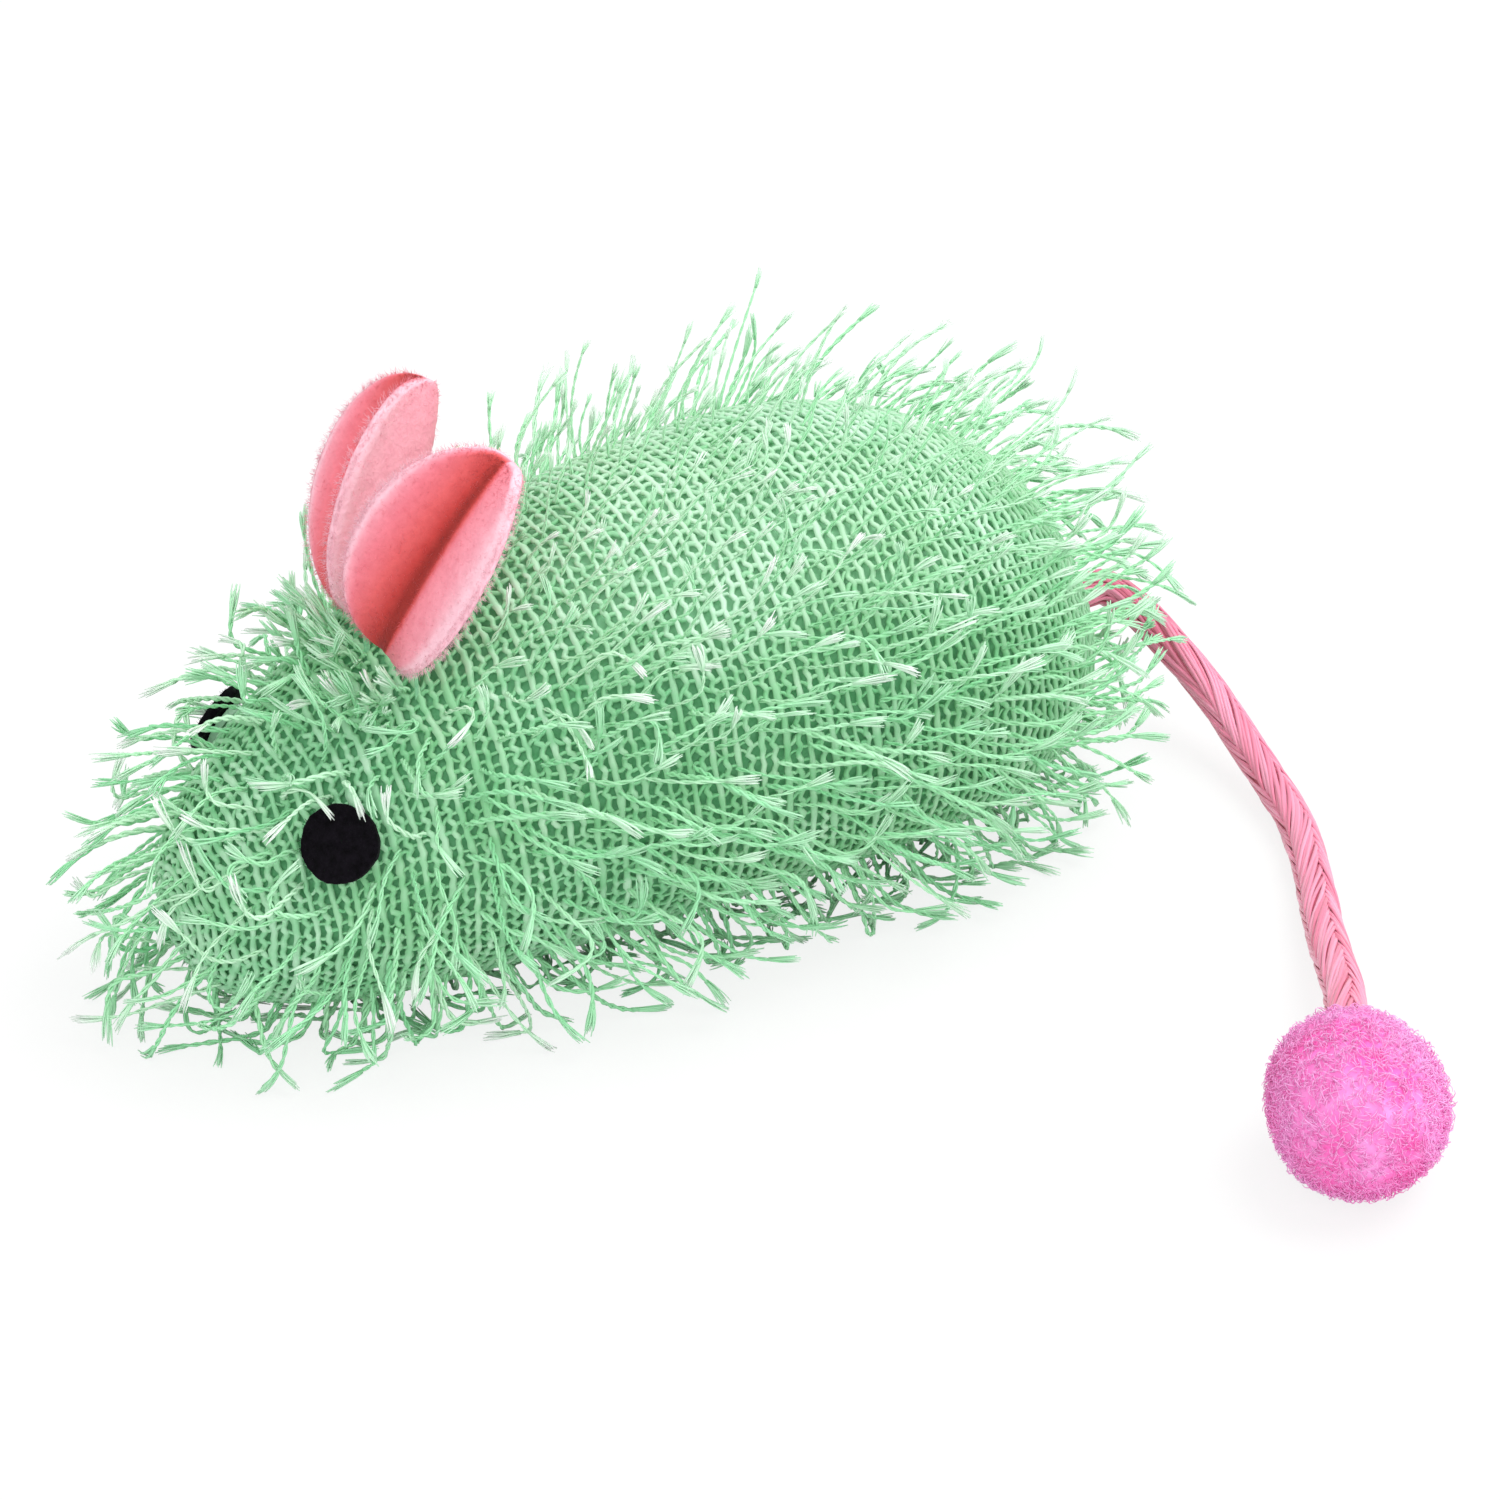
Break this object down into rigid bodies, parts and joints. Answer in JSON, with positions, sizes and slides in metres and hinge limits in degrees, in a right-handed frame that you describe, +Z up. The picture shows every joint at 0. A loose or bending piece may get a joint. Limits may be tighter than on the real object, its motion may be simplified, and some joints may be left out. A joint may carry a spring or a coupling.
{
  "type": "catnip mouse toy",
  "caption": "Stuffed knitted mouse with folded felt ears, felt disc eyes and a long cord tail that ends in a pompom, holding a catnip pouch.",
  "frame": {"origin": "on the floor under the middle of the body, halfway between nose tip and rump, measured without the tail's cord, knot and pompom", "axes": "+Z up, the nose points to -Y, the rump and tail root are at +Y, +X is the mouse's left"},
  "size_m": [0.1304, 0.1371, 0.0653],
  "materials": {
    "knit": "open knit of mint green lash yarn",
    "lining": "plain green stretch cloth",
    "fill": "loose polyester fibre",
    "pouch": "thin cotton cloth",
    "catnip": "dried crushed leaf",
    "ear_felt": "pink felt with a soft pale edge",
    "eye_felt": "black felt",
    "glue": "clear set glue",
    "thread": "sewing thread",
    "cord": "satin twisted cord, pink with red strands",
    "pompom": "hot pink fluffy yarn"
  },
  "bodies": {
    "body": {"knit_cover": "knit", "lining_bag": "lining", "stuffing": "fill", "catnip_pouch": "pouch", "catnip_fill": "catnip", "closing_seam_thread": "thread", "nose_gather_thread": "thread", "eye_left": "eye_felt", "eye_left_glue": "glue", "eye_right": "eye_felt", "eye_right_glue": "glue", "ear_left_stitch": "thread", "ear_right_stitch": "thread", "tail_tack_thread": "thread"},
    "left_ear": {"ear_left": "ear_felt"},
    "right_ear": {"ear_right": "ear_felt"},
    "tail_anchor": {"tail_knot": "cord"},
    "tail": {"tail_cord": "cord", "pompom": "pompom", "pompom_tie": "thread"}
  },
  "joints": [
    {"name": "ear_left_fold", "type": "hinge", "parent": "body", "child": "left_ear", "pos_m": [0.00544, -0.03035, 0.04394], "axis": [0.9276, 0.1921, -0.3203], "range_deg": [-30, 45]},
    {"name": "ear_right_fold", "type": "hinge", "parent": "body", "child": "right_ear", "pos_m": [-0.00544, -0.03035, 0.04394], "axis": [0.9276, -0.1921, 0.3203], "range_deg": [-30, 45]},
    {"name": "tail_roll", "type": "hinge", "parent": "body", "child": "tail_anchor", "pos_m": [0, 0.056, 0.01755], "axis": [0, -1, 0], "range_deg": [0, 180]},
    {"name": "tail_swing", "type": "hinge", "parent": "tail_anchor", "child": "tail", "pos_m": [0, 0.0598, 0.01755], "axis": [0, 0, 1], "range_deg": [-25, 75]}
  ]
}
